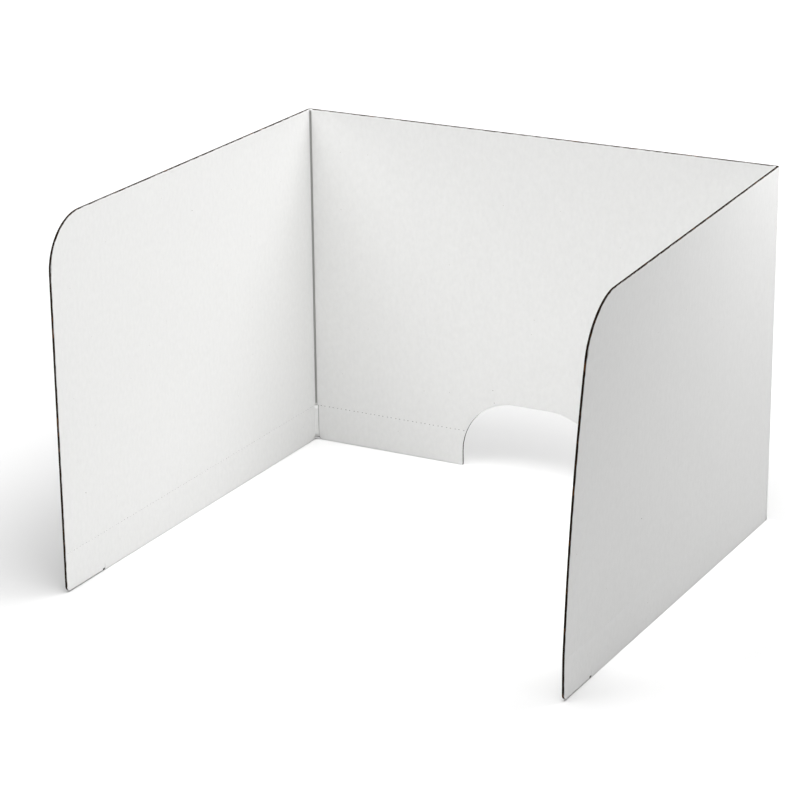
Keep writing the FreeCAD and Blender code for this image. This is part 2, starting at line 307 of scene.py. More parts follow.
def paper_tree():
    """Turns a flat die-cut sheet into a paper of the board, fluted, slit, leaning and thick."""
    tree = bpy.data.node_groups.new("paper_of_the_board", "GeometryNodeTree")
    tree.interface.new_socket("Sheet", in_out="INPUT", socket_type="NodeSocketGeometry")
    for name, kind in PAPER_INPUTS:
        tree.interface.new_socket(name, in_out="INPUT", socket_type=kind)
    tree.interface.new_socket("Paper", in_out="OUTPUT", socket_type="NodeSocketGeometry")
    given = add_node(tree, "NodeGroupInput").outputs
    position = add_node(tree, "GeometryNodeInputPosition")
    parts = add_node(tree, "ShaderNodeSeparateXYZ", {0: position.outputs[0]}).outputs
    cut = add_node(tree, "GeometryNodeInputNamedAttribute", {"Name": CUT_EDGE_ATTRIBUTE},
                   data_type="FLOAT").outputs[0]
    made = {"x": parts["X"], "z": parts["Z"], "cut": cut}
    made.update({name: given[name] for name, _ in PAPER_INPUTS})
    # Each line is a step of arithmetic: its name, what it does, and what it takes.
    steps = (
        ("turns", "DIVIDE", "x", "Flute pitch"),
        ("phase", "MULTIPLY", "turns", 2 * math.pi),
        ("wave", "SINE", "phase"),
        ("cut share", "DIVIDE", "cut", "Edge reach"),
        ("near cut", "SUBTRACT", 1.0, "cut share"),
        ("near cut only", "MAXIMUM", "near cut", 0.0),
        ("pressed", "POWER", "near cut only", PRESS_FALLOFF),
        ("flattened", "MULTIPLY", "pressed", "Edge flattening"),
        ("left of wave", "SUBTRACT", 1.0, "flattened"),
        ("half height", "MULTIPLY", "Flute height", 0.5),
        ("swing", "MULTIPLY", "half height", "left of wave"),
        ("flute", "MULTIPLY", "wave", "swing"),
        ("press", "MULTIPLY", "pressed", "Edge press"),
        ("fluted", "ADD", "Through board", "flute"),
        ("through", "ADD", "fluted", "press"),
        ("from crease", "SUBTRACT", "z", "Crease height"),
        ("above crease", "MAXIMUM", "from crease", 0.0),
        ("slope part", "MULTIPLY", "above crease", "Lean slope"),
        ("above squared", "MULTIPLY", "above crease", "above crease"),
        ("curve part", "MULTIPLY", "above squared", "Lean curve"),
        ("lean at front", "ADD", "slope part", "curve part"),
        ("share of depth", "DIVIDE", "x", "Wing depth"),
        ("lean", "MULTIPLY", "lean at front", "share of depth"),
        ("new y", "ADD", "through", "lean"),
        ("half pitch", "MULTIPLY", "Slit pitch", 0.5),
        ("from first slit", "SUBTRACT", "x", "First slit"),
        ("shifted", "ADD", "from first slit", "half pitch"),
        ("in slit", "FLOORED_MODULO", "shifted", "Slit pitch"),
        ("off centre", "SUBTRACT", "in slit", "half pitch"),
        ("off", "ABSOLUTE", "off centre"),
        ("from end", "SUBTRACT", "off", "Slit end"),
        ("end share", "DIVIDE", "from end", "Slit end reach"),
        ("end squared", "MULTIPLY", "end share", "end share"),
        ("inside", "SUBTRACT", 1.0, "end squared"),
        ("inside only", "MAXIMUM", "inside", 0.0),
        ("lens", "SQRT", "inside only"),
        ("opening", "MULTIPLY", "lens", "Slit opening"),
        ("at crease", "COMPARE", "z", "Crease height", AT_CREASE),
        ("slit", "MULTIPLY", "opening", "at crease"),
        ("new z", "ADD", "z", "slit"),
    )
    for name, operation, *takes in steps:
        inputs = {i: made[take] if isinstance(take, str) else take for i, take in enumerate(takes)}
        made[name] = add_node(tree, "ShaderNodeMath", inputs, operation=operation).outputs[0]
    moved = add_node(tree, "ShaderNodeCombineXYZ",
                     {0: made["x"], 1: made["new y"], 2: made["new z"]})
    shaped = add_node(tree, "GeometryNodeSetPosition",
                      {"Geometry": given["Sheet"], "Position": moved.outputs[0]}).outputs[0]
    # The thickness is laid on straight through the board, so that every cut stays flush.
    facing = add_node(tree, "ShaderNodeSeparateXYZ",
                      {0: add_node(tree, "GeometryNodeInputNormal").outputs[0]}).outputs["Y"]
    steepest = add_node(tree, "ShaderNodeMath", {0: facing, 1: STEEPEST_FACING},
                        operation="MAXIMUM")
    laid_on = add_node(tree, "ShaderNodeMath",
                       {0: given["Paper thickness"], 1: steepest.outputs[0]}, operation="DIVIDE")
    offset = add_node(tree, "ShaderNodeCombineXYZ", {1: laid_on.outputs[0]})
    raised = add_node(tree, "GeometryNodeExtrudeMesh",
                      {"Mesh": shaped, "Offset": offset.outputs[0], "Offset Scale": 1.0,
                       "Individual": False}, mode="FACES").outputs
    under = add_node(tree, "GeometryNodeFlipFaces", {0: shaped}).outputs[0]
    joined = add_node(tree, "GeometryNodeJoinGeometry")
    tree.links.new(under, joined.inputs[0])
    tree.links.new(raised["Mesh"], joined.inputs[0])
    closed = add_node(tree, "GeometryNodeMergeByDistance",
                      {"Geometry": joined.outputs[0], "Distance": WELD}).outputs[0]
    smooth = add_node(tree, "GeometryNodeSetShadeSmooth",
                      {"Geometry": closed, "Shade Smooth": True})
    crisp = add_node(tree, "GeometryNodeSetShadeSmooth",
                     {0: smooth.outputs[0], "Selection": raised["Side"], "Shade Smooth": False})
    real = add_node(tree, "GeometryNodeRealizeInstances", {0: crisp.outputs[0]}).outputs[0]
    for material, selection in (("Near face", None), ("Far face", "Top"), ("Cut edge", "Side")):
        inputs = {"Geometry": real, "Material": given[material]}
        if selection:
            inputs["Selection"] = raised[selection]
        real = add_node(tree, "GeometryNodeSetMaterial", inputs).outputs[0]
    add_node(tree, "NodeGroupOutput", {0: real})
    return tree


PAPER_TREE = paper_tree()


def run_tree(sheet, tree, inputs, name):
    """The plain mesh that a tree makes of a sheet."""
    source = link_object(f"{name}_sheet", sheet)
    modifier = source.modifiers.new("paper", "NODES")
    modifier.node_group = tree
    for item in tree.interface.items_tree:
        if item.item_type == "SOCKET" and item.in_out == "INPUT" and item.name in inputs:
            modifier[item.identifier] = inputs[item.name]
    bpy.context.view_layer.update()
    evaluated = source.evaluated_get(bpy.context.evaluated_depsgraph_get())
    mesh = bpy.data.meshes.new_from_object(evaluated)
    source.modifiers.remove(modifier)
    bpy.data.objects.remove(source)
    mesh.name = name
    return mesh


# -------------------------------------------------------------------------- die-cut outlines

# The cut-crease: slits whose ends gape a little, while their lips meet between.
SLIT_PITCH = 12.7 * MM
FIRST_SLIT = 11.1 * MM
SLIT_END = 2.8 * MM
SLIT_END_REACH = 1.0 * MM
WING_SLIT_GAPE = 0.14 * MM
BACK_SLIT_GAPE = 0.31 * MM

STEPS_PER_FLUTE = {"inner": 4, "fluting": 8, "outer": 4}
STEPS_OVER_SLIT_END = (-1, -0.7, 0, 0.7, 1)
DECIMALS = 8                     # of a metre, so that a column drawn twice is one
ROUNDING = 0.001 * MM
CLOSEST_COLUMNS = 0.005 * MM
NO_LENGTH = 1e-18                # square metres, for a step between two points on one spot
STEP_EDGE = 0.02 * MM            # a notch's side takes this much of the sheet
STRIP_TOP = CREASE - 0.005 * MM  # a hair below the panel it folds from
LOWEST_STRIP = 0.05 * MM         # what the arch leaves of a strip at its end
OUTER_RELIEF_SHARE = 0.3
TOP_CORNER_PARTS = 40
TOE_CORNER_PARTS = 14
ARCH_CORNER_PARTS = 36
ARCH_HALF_AT_CREASE = ARCH_CENTRE_OFFSET + math.sqrt(
    ARCH_CORNER ** 2 - (CREASE - ARCH_CENTRE_HEIGHT) ** 2)


def columns(paper, start, end, corners=()):
    """Distances along a sheet at which its outline is drawn: each step, and round each corner."""
    step = FLUTE_PITCH / STEPS_PER_FLUTE[paper]
    every = [np.arange(math.ceil(start / step), math.floor(end / step) + 1) * step]
    every += [np.array([start]) + EDGE_STEPS, np.array([end]) - EDGE_STEPS]
    every += [np.array([corner]) + side * EDGE_STEPS for corner in corners for side in (1, -1)]
    if paper == "inner":
        slits = np.arange(FIRST_SLIT, end, SLIT_PITCH)
        every += [slits + side * SLIT_END + share * SLIT_END_REACH
                  for side in (-1, 1) for share in STEPS_OVER_SLIT_END]
    across = np.unique(np.round(np.concatenate(every), DECIMALS))
    across = across[(across >= start - ROUNDING) & (across <= end + ROUNDING)]
    # Two columns that nearly meet would leave slivers.
    return across[np.concatenate([[True], np.diff(across) > CLOSEST_COLUMNS])]


def with_columns(across, more):
    return np.union1d(across, np.round(more, DECIMALS))


def quarter_turn(radius, parts):
    """How far out each point of a quarter circle is, from its flat side to its upright side."""
    return radius * np.sin(np.linspace(0, math.pi / 2, parts + 1))


def circle_height(radius, out):
    """How high a circle stands over its middle, this far out from it."""
    return np.sqrt(np.maximum(0, radius ** 2 - out ** 2))


def distance_from(line, points):
    """How far each point is from a die-cut line, but for the cut-crease, which stays joined."""
    distance = np.ones(len(points))
    for start, end in zip(line[:-1], line[1:]):
        if start[1] == end[1] == CREASE:
            continue
        run = end - start
        share_along = np.clip((points - start) @ run / max(run @ run, NO_LENGTH), 0, 1)
        gap = points - start - share_along[:, None] * run
        distance = np.minimum(distance, np.hypot(gap[:, 0], gap[:, 1]))
    return distance


def die_cut_sheet(name, across, foot, head, rows, cut):
    """A flat sheet from foot to head, whose points know how far they are from a cut edge."""
    # Where the sheet is low, the steps at its two cuts shrink to leave room between them.
    spare = np.minimum(1, (head - foot) / (4 * EDGE_STEPS[-1]))[:, None]
    lower = foot[:, None] + EDGE_STEPS * spare
    upper = head[:, None] - EDGE_STEPS[::-1] * spare
    share = np.linspace(0, 1, rows + 1)[1:-1]
    middle = lower[:, -1:] * (1 - share) + upper[:, :1] * share
    heights = np.concatenate([lower, middle, upper], axis=1)
    count = heights.shape[1]
    x = np.repeat(across, count)
    z = heights.ravel()
    points = np.stack([x, z], axis=1)
    lines = {"foot": points[::count], "head": points[count - 1::count], "front": points[-count:],
             "nick": points[::count][foot == NICK_RISE]}
    from_side = {side: distance_from(lines[side], points) for side in (*cut, "nick")}
    distance = np.minimum.reduce([from_side[side] for side in cut])
    # The coat cracks off along the free edges, which hands and shelves rub; round a nick the same
    # darkening is painted shade.
    from_rubbed_edge_and_nick = np.minimum.reduce([from_side[side] for side in ("head", "front", "nick")
                                     if side in from_side])
    cracked_and_shaded = np.clip((COAT_CRACKED_AND_SHADED_TO - from_rubbed_edge_and_nick) / (COAT_CRACKED_AND_SHADED_TO - COAT_GONE_AND_SHADED_TO), 0, 1)
    corner = (np.arange(len(across) - 1)[:, None] * count + np.arange(count - 1)).ravel()
    faces = np.stack([corner, corner + 1, corner + count + 1, corner + count], axis=1)
    mesh = bpy.data.meshes.new(name)
    vertices = np.stack([x, np.zeros_like(x), z], axis=1)
    mesh.from_pydata(vertices.tolist(), [], faces.tolist())
    for attribute_name, values in ((CUT_EDGE_ATTRIBUTE, distance), (CRACKED_COAT_AND_SHADE_ATTRIBUTE, cracked_and_shaded)):
        attribute = mesh.attributes.new(attribute_name, "FLOAT", "POINT")
        attribute.data.foreach_set("value", values.astype(np.float32))
    return mesh


def wing_panel(paper, start):
    """A wing above the cut-crease, with its large rounded top front corner."""
    bend = WING_DEPTH - TOP_CORNER
    across = with_columns(columns(paper, start, WING_DEPTH),
                          bend + quarter_turn(TOP_CORNER, TOP_CORNER_PARTS))
    rounded = TOP - TOP_CORNER + circle_height(TOP_CORNER, across - bend)
    return across, np.full_like(across, CREASE), np.where(across > bend, rounded, TOP)


def relief_height(across, paper="inner"):
    """How high the round relief at a fold's foot leaves a paper at each distance from the fold.

    The outer liner is cut less deep, so that its kraft side, painted dark as painted shade, shows
    in the relief.
    """
    inside = np.minimum(np.abs(across), RELIEF_RUN)
    share = OUTER_RELIEF_SHARE if paper == "outer" else 1.0
    return (circle_height(RELIEF_RADIUS, inside) - RELIEF_DROP) * share


def wing_strip(paper, start, nick_setback):
    """A wing's foot strip: a relief at the fold, a nick, and a toe that stands a little higher."""
    nick = WING_DEPTH - nick_setback
    sides = np.array([nick - NICK_WIDTH / 2, nick + NICK_WIDTH / 2])
    bend = WING_DEPTH - TOE_CORNER
    across = columns(paper, start, WING_DEPTH, (*sides, RELIEF_RUN))
    across = with_columns(across, sides + (STEP_EDGE, -STEP_EDGE))
    across = with_columns(across, bend + quarter_turn(TOE_CORNER, TOE_CORNER_PARTS))
    foot = relief_height(across, paper)
    # A nick tears the liners and leaves the fluting, which shows in it, dark with painted shade.
    foot[across > sides[0] + STEP_EDGE / 2] = 0.0 if paper == "fluting" else NICK_RISE
    foot[across > sides[1] - STEP_EDGE / 2] = TOE_LIFT
    toe = across > bend
    foot[toe] = TOE_LIFT + TOE_CORNER - circle_height(TOE_CORNER, across[toe] - bend)
    return across, foot, np.full_like(across, STRIP_TOP)


def arch_height(across):
    """How high the arch's edge is at each distance along the back."""
    out = np.maximum(0, np.abs(across - ARCH_MIDDLE) - ARCH_CENTRE_OFFSET)
    return ARCH_CENTRE_HEIGHT + circle_height(ARCH_CORNER, out)


def back_panel(paper, start):
    """The back panel above the cut-crease, open at the arch."""
    ends = (ARCH_MIDDLE - ARCH_HALF_AT_CREASE, ARCH_MIDDLE + ARCH_HALF_AT_CREASE)
    across = columns(paper, start, BACK_WIDTH - start, ends)
    turn = ARCH_CENTRE_OFFSET + quarter_turn(ARCH_CORNER, ARCH_CORNER_PARTS)
    turn = turn[turn < ARCH_HALF_AT_CREASE]
    across = with_columns(across, np.concatenate([ARCH_MIDDLE - turn, ARCH_MIDDLE + turn]))
    inside = np.abs(across - ARCH_MIDDLE) < ARCH_HALF_AT_CREASE
    foot = np.where(inside, arch_height(across), CREASE)
    return across, foot, np.full_like(across, TOP)


def back_strip(paper, start):
    """A foot strip of the back panel, from its fold to the arch's jamb."""
    jamb = ARCH_MIDDLE - ARCH_WIDTH / 2
    end = ARCH_MIDDLE - ARCH_HALF_AT_CREASE - STEP_EDGE
    across = columns(paper, start, end, (jamb, RELIEF_RUN))
    across = with_columns(across, [jamb + STEP_EDGE])
    foot = relief_height(across, paper)
    past = across > jamb + STEP_EDGE / 2
    foot[past] = np.minimum(arch_height(across[past]), CREASE - LOWEST_STRIP)
    return across, foot, np.full_like(across, STRIP_TOP)


# ------------------------------------------------------------------------------- the panels


def board_place(origin_x, along, outward):
    """Board frame to row frame."""
    return Matrix((
        (along[0], outward[0], 0, origin_x),
        (along[1], outward[1], 0, INNER_Y),
        (0, 0, 1, 0),
        (0, 0, 0, 1),
    ))


LEFT_WING_PLACE = board_place(LEFT_FOLD_X, (0, -1), (-1, 0))
RIGHT_WING_PLACE = board_place(RIGHT_FOLD_X, (0, -1), (1, 0))
BACK_PLACE = board_place(LEFT_FOLD_X, (1, 0), (0, 1))
BACK_PLACE_FROM_RIGHT = board_place(RIGHT_FOLD_X, (-1, 0), (0, 1))

# The papers of the board, in its thickness.
GLUE_LINE = 0.02 * MM
WASHBOARD = 0.035 * MM           # the flutes show through the liners by this much
OUTER_SINK = 0.075 * MM          # leaves the washboard room inside the board's nominal face
FLUTE_HEIGHT = BOARD - OUTER_SINK - 2 * LINER - MEDIUM - 2 * GLUE_LINE
EDGE_PRESS = 0.2 * MM            # the die pinches each liner inwards by this much at a cut
EDGE_REACH = 1.6 * MM
BOTH_LINERS = 2.2                # pressing on the medium, and a little to spare
EDGE_FLATTENING = BOTH_LINERS * EDGE_PRESS / FLUTE_HEIGHT

# Each paper: the node it replaces and its slot, how far from its fold it starts above the
# cut-crease and below it, how wide its slits gape, and what the tree makes it with.
PAPERS = {
    "inner": {
        "node": "inner_liner", "slot": "white_liner",
        "start above": 4.2 * MM, "start below": 4.3 * MM, "gapes": 1.0,
        "inputs": {"Through board": 0.0, "Paper thickness": LINER, "Flute height": WASHBOARD,
                   "Edge press": EDGE_PRESS, "Edge flattening": 0.0,
                   "Near face": WHITE_LINER, "Far face": SHADED_KRAFT_BACK, "Cut edge": SHADED_CUT_EDGE},
    },
    "fluting": {
        "node": "fluted_medium", "slot": "kraft_fluting",
        "start above": 2.2 * MM, "start below": 4.4 * MM, "gapes": 0.0,
        "inputs": {"Through board": (BOARD - OUTER_SINK - MEDIUM) / 2, "Paper thickness": MEDIUM,
                   "Flute height": FLUTE_HEIGHT,
                   "Edge press": 0.0, "Edge flattening": EDGE_FLATTENING,
                   "Near face": SHADED_FLUTING, "Far face": SHADED_FLUTING, "Cut edge": SHADED_FLUTING},
    },
    "outer": {
        "node": "outer_liner", "slot": "white_liner",
        "start above": OUTER_START_ABOVE, "start below": STRIP_SETBACK, "gapes": 0.0,
        "inputs": {"Through board": BOARD - OUTER_SINK - LINER, "Paper thickness": LINER,
                   "Flute height": WASHBOARD, "Edge press": -EDGE_PRESS, "Edge flattening": 0.0,
                   "Near face": SHADED_KRAFT_BACK, "Far face": WHITE_LINER, "Cut edge": SHADED_CUT_EDGE},
    },
}
SHARED_INPUTS = {
    "Flute pitch": FLUTE_PITCH, "Edge reach": EDGE_REACH, "Slit pitch": SLIT_PITCH,
    "First slit": FIRST_SLIT, "Slit end": SLIT_END, "Slit end reach": SLIT_END_REACH,
    "Crease height": CREASE, "Wing depth": WING_DEPTH,
}


def make_panel(name, outline, place, rows, cut, gape, lean=(0.0, 0.0), nick=()):
    """The three papers of a panel or strip, each riding on the panel's body."""
    start = "start above" if gape > 0 else "start below"
    for side, paper in PAPERS.items():
        across, foot, head = outline(side, paper[start], *nick)
        sheet = die_cut_sheet(f"{name}_{side}", across, foot, head, rows, cut)
        mesh = run_tree(sheet, PAPER_TREE, {
            **SHARED_INPUTS,
            **paper["inputs"],
            "Slit opening": gape * paper["gapes"],
            "Lean slope": lean[0],
            "Lean curve": lean[1],
        }, f"{name}_{side}_paper")
        mesh.transform(place)
        if place.determinant() < 0:
            mesh.flip_normals()
        piece = link_object(f"{name}_{side}_paper", mesh)
        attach(piece, name)
        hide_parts(f"{name}_{paper['node']}")


PANEL_ROWS = 24
STRIP_ROWS = 6
# A slit's upper lip belongs to the panel and its lower lip to the strip.
make_panel("back_panel", back_panel, BACK_PLACE, PANEL_ROWS, ("head", "foot"), BACK_SLIT_GAPE)
make_panel("left_wing", wing_panel, LEFT_WING_PLACE, PANEL_ROWS, ("head", "front"),
           WING_SLIT_GAPE)
make_panel("right_wing", wing_panel, RIGHT_WING_PLACE, PANEL_ROWS, ("head", "front"),
           WING_SLIT_GAPE, lean=(LEAN_SLOPE, LEAN_CURVE))
make_panel("left_strip", wing_strip, LEFT_WING_PLACE, STRIP_ROWS, ("foot", "front"),
           -WING_SLIT_GAPE, nick=(LEFT_NICK_SETBACK,))
make_panel("right_strip", wing_strip, RIGHT_WING_PLACE, STRIP_ROWS, ("foot", "front"),
           -WING_SLIT_GAPE, nick=(RIGHT_NICK_SETBACK,))
make_panel("back_left_strip", back_strip, BACK_PLACE, STRIP_ROWS, ("foot",), -BACK_SLIT_GAPE)
make_panel("back_right_strip", back_strip, BACK_PLACE_FROM_RIGHT, STRIP_ROWS, ("foot",),
           -BACK_SLIT_GAPE)

# Bark specks in the white coat: panel, face, distance from its fold, height, radius.
SPECKS = (
    ("right_wing", RIGHT_WING_PLACE, "outer", 396.0 * MM, 145.0 * MM, 0.9 * MM),
    ("left_wing", LEFT_WING_PLACE, "inner", 543.0 * MM, 111.0 * MM, 0.6 * MM),
    ("left_wing", LEFT_WING_PLACE, "inner", 290.0 * MM, 394.0 * MM, 0.6 * MM),
    ("back_panel", BACK_PLACE, "inner", ARCH_MIDDLE - 57.0 * MM, 111.0 * MM, 0.55 * MM),
    ("back_panel", BACK_PLACE, "inner", ARCH_MIDDLE - 55.0 * MM, 94.0 * MM, 0.6 * MM),
)
SPECK_PROUD = 0.02 * MM
SPECK_SIDES = 10
SPECK_FLATNESS = 0.8             # its height over its width
for number, (panel, place, face, along, height, radius) in enumerate(SPECKS):
    turns = np.linspace(0, 2 * math.pi, SPECK_SIDES, endpoint=False)
    above = height - CREASE
    lean = (LEAN_SLOPE * above + LEAN_CURVE * above ** 2) * along / WING_DEPTH
    depth = BOARD - OUTER_SINK + lean if face == "outer" else -WASHBOARD / 2
    outward = 1 if face == "outer" else -1
    vertices = []
    for proud in (-1, 1):
        vertices += [(along + radius * math.cos(t), depth + outward * proud * SPECK_PROUD,
                      height + SPECK_FLATNESS * radius * math.sin(t)) for t in turns]
    count = len(turns)
    mesh = bpy.data.meshes.new(f"{panel}_bark_speck_{number}")
    rim = [(i, (i + 1) % count, count + (i + 1) % count, count + i) for i in range(count)]
    mesh.from_pydata(vertices, [], [tuple(range(count)), tuple(range(count, 2 * count)), *rim])
    mesh.materials.append(BARK_SPECK)
    mesh.transform(place)
    recalculate_normals(mesh)
    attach(link_object(mesh.name, mesh), panel)

# -------------------------------------------------------------------------------- the folds

# Sections seen from above, in millimetres from the inner corner: a into the bay along the back,
# b outwards through the back.  Each runs from the wing to the back.  A half one stops at the
# corner's diagonal.
GROOVE_HALF = ((0.0, -4.2), (0.03, -3.7), (0.14, -3.2), (0.25, -2.75), (0.22, -2.35), (0.0, -1.9),
               (-0.4, -1.3), (-0.75, -0.5), (-0.85, 0.3))
GROOVE_BOTTOM = ((-0.72, 0.72),)
CORNER_HALF = ((0.0, -4.2), (0.02, -3.5), (0.06, -2.8), (0.16, -2.1), (0.3, -1.6), (0.42, -1.2),
               (0.55, -0.95), (0.68, -0.8), (0.72, -0.74))
CORNER_BOTTOM = ((0.73, -0.73),)
LINE_PARTS = 3

# Where the score's coat is painted grey, partly rubbed coat and partly painted shade in the
# groove, in millimetres.
GROOVE_RUBBED_AND_SHADED_TO = 1.9           # from the diagonal
GROOVE_RUB_AND_SHADE_FADE = 0.6
POST_RUBBED_AND_SHADED_FROM = -0.1          # through the back
POST_RUB_AND_SHADE_FADE = 0.3
POST_EDGE = 2.5                  # along the back

POST_WIDTH = 3.1                 # millimetres, and this much more at the desk:
POST_WIDENING = 0.9
FLANGE_KNEE = 0.45               # millimetres: the outer paper is straight from here to its bend
BEND_POINTS = 15
GROOVE_FADE = 3.0 * MM
GROOVE_END = 0.6 * MM            # below the cut top
NEAR_FACE, FAR_FACE, CUT_FACE = range(3)


def other_side(points):
    """The same points mirrored across the corner's diagonal, back to front."""
    return tuple((-b, -a) for a, b in reversed(points))


def smooth_line(points):
    """A smooth line through points."""
    points = np.array(points, float)
    padded = np.vstack([2 * points[0] - points[1], points, 2 * points[-1] - points[-2]])
    line = []
    for before, start, end, after in zip(padded, padded[1:], padded[2:], padded[3:]):
        for t in np.linspace(0, 1, LINE_PARTS, endpoint=False):
            line.append(0.5 * (2 * start + (end - before) * t
                               + (2 * before - 5 * start + 4 * end - after) * t ** 2
                               + (3 * start - before - 3 * end + after) * t ** 3))
    line.append(points[-1])
    return np.array(line)


GROOVE_LINE = smooth_line(GROOVE_HALF + GROOVE_BOTTOM + other_side(GROOVE_HALF))
CORNER_LINE = smooth_line(CORNER_HALF + CORNER_BOTTOM + other_side(CORNER_HALF))


def normals_of(line):
    """Unit normals of a line, to its left."""
    run = np.gradient(line, axis=0)
    run /= np.linalg.norm(run, axis=1)[:, None]
    return np.stack([-run[:, 1], run[:, 0]], axis=1)


def fold_piece(name, side, line_at, thickness, heights, rub_and_shade_at, paper="inner"):
    """A paper that follows the fold up: its line from above, its thickness to the line's left."""
    rows = []
    scores = []
    for height in heights:
        line = line_at(height)
        rows.append(np.vstack([line, (line + normals_of(line) * thickness)[::-1]]))
        score = rub_and_shade_at(line, height)
        scores.append(np.concatenate([score, np.zeros(len(score))]))
    count = len(rows[0])
    points = len(line)
    x_side, fold_x = (1, LEFT_FOLD_X) if side == "left" else (-1, RIGHT_FOLD_X)
    vertices = []
    for height, row in zip(heights, rows):
        # Its foot follows the round relief.
        share = max(0.0, CREASE - height) / (CREASE - FOLD_FOOT)
        for a, b in row:
            drop = share * (FOLD_FOOT - relief_height(math.hypot(a, b) * MM, paper))
            vertices.append((fold_x + x_side * a * MM, INNER_Y + b * MM, height - drop))
    faces = []
    kinds = []
    for level in range(len(heights) - 1):
        for i in range(count):
            after = (i + 1) % count
            faces.append((level * count + i, level * count + after,
                          (level + 1) * count + after, (level + 1) * count + i))
            kinds.append(NEAR_FACE if i < points - 1 else
                         CUT_FACE if i in (points - 1, count - 1) else FAR_FACE)
    for level in (0, len(heights) - 1):
        for i in range(points - 1):
            cap = (i, i + 1, count - 2 - i, count - 1 - i)
            faces.append(tuple(level * count + v for v in cap))
            # The scored board is crushed shut at the top, so no brown shows there.
            kinds.append(NEAR_FACE if level and heights[-1] == TOP else CUT_FACE)
    mesh = bpy.data.meshes.new(name)
    mesh.from_pydata(vertices, [], faces)
    for material in (WHITE_LINER, SHADED_KRAFT_BACK, SHADED_CUT_EDGE):
        mesh.materials.append(material)
    mesh.polygons.foreach_set("material_index", kinds)
    mesh.polygons.foreach_set("use_smooth", [kind != CUT_FACE for kind in kinds])
    attribute = mesh.attributes.new(SCORE_GREY_AND_SHADE_ATTRIBUTE, "FLOAT", "POINT")
    attribute.data.foreach_set("value", np.concatenate(scores).astype(np.float32))
    recalculate_normals(mesh)
    piece = link_object(name, mesh)
    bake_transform(piece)
    return piece


def groove_share(height):
    """How deep the groove is: nothing at its ends, the cut top and the cut-crease."""
    near_end = np.clip(min(TOP - GROOVE_END - height, height - CREASE) / GROOVE_FADE, 0, 1)
    return near_end * near_end * (3 - 2 * near_end)


def groove_at(height):
    share = groove_share(height)
    return CORNER_LINE * (1 - share) + GROOVE_LINE * share


def groove_rub_and_shade(line, height):
    """How grey the coat is painted, as rubbed coat and painted shade: all of it where the groove
    is deep.
    """
    inside = np.abs(line[:, 0] + line[:, 1]) / math.sqrt(2)
    return np.clip((GROOVE_RUBBED_AND_SHADED_TO - inside) / GROOVE_RUB_AND_SHADE_FADE, 0, 1) * groove_share(height)


def post_at(height):
    """The flat post below the cut-crease, which widens a little towards the desk."""
    right = POST_WIDTH + POST_WIDENING * (CREASE - height) / CREASE
    return smooth_line((
        (0.0, -4.3), (0.02, -3.95), (0.1, -3.55),
        (0.8, -2.75), (1.6, -1.95), (right - 0.75, -0.95), (right - 0.2, -0.35),
        (right - 0.05, 0.1), (right + 0.1, 0.6), (right + 0.3, 0.7), (4.05, 0.45), (4.3, 0.0),
    ))


def post_rub_and_shade(line, _height):
    """How grey the coat is painted, as rubbed coat and painted shade: where the post turns back
    into the board.
    """
    rubbed_and_shaded = np.clip((line[:, 1] - POST_RUBBED_AND_SHADED_FROM) / POST_RUB_AND_SHADE_FADE, 0, 1)
    return rubbed_and_shaded * (line[:, 0] > POST_EDGE)


def outer_at(height):
    """The outer liner round the fold, with a flat flange each side in front of the strips."""
    board = (BOARD - OUTER_SINK / 2) / MM
    bend = OUTER_BEND / MM
    flange = (STRIP_SETBACK if height < CREASE else OUTER_START_ABOVE) / MM
    turn = np.linspace(0, math.pi / 2, BEND_POINTS)
    centre = bend - board
    arc = np.stack([centre - bend * np.cos(turn), -centre + bend * np.sin(turn)], axis=1)
    return np.vstack([[(-board, -flange), (-board, -FLANGE_KNEE)], arc,
                      [(FLANGE_KNEE, board), (flange, board)]])


def no_score(line, _height):
    return np.zeros(len(line))


JUST_BELOW = 0.01 * MM
END_STEPS = np.array([0.0, 0.6, 1.2, 1.8, 2.4, 3.0, 3.6]) * MM
UPPER = np.concatenate([CREASE + END_STEPS, np.linspace(CREASE, TOP, 24)[1:-1],
                        TOP - END_STEPS[::-1]])
LOWER = np.linspace(FOLD_FOOT, CREASE - JUST_BELOW, 8)
WHOLE = np.concatenate([LOWER, [CREASE], UPPER[1:]])
for side in ("left", "right"):
    outer = fold_piece(f"{side}_fold_outer_paper", side, outer_at, -LINER / MM, WHOLE, no_score,
                       paper="outer")
    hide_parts(f"{side}_fold_crease")
    fold_piece(f"{side}_fold_score", side, groove_at, LINER / MM, UPPER, groove_rub_and_shade)
    fold_piece(f"{side}_fold_post", side, post_at, LINER / MM, LOWER, post_rub_and_shade)

# ----------------------------------------------------------------- floor, lights and camera

FLOOR_HALF = 12.0
FLOOR_DROP = 0.3 * MM            # keeps the floor clear of the paper's feet
FLOOR_SEEN = "#d1d1d1"
FLOOR_BOUNCE = "#c2c2c2"
LIFT_FROM = 0.45                 # metres from the middle
LIFT_FULL = 3.0
# Painted light: a pool of light on the floor between the panels, seen by the camera only.
BAY_PAINTED_LIGHT = 0.3                   # between the panels, fading out over these metres at each edge
BAY_FADE_INSIDE = 0.006
BAY_FADE_OUTSIDE = 0.005
BAY_FADE_RIGHT = 0.16
BAY_FADE_FRONT = 0.18


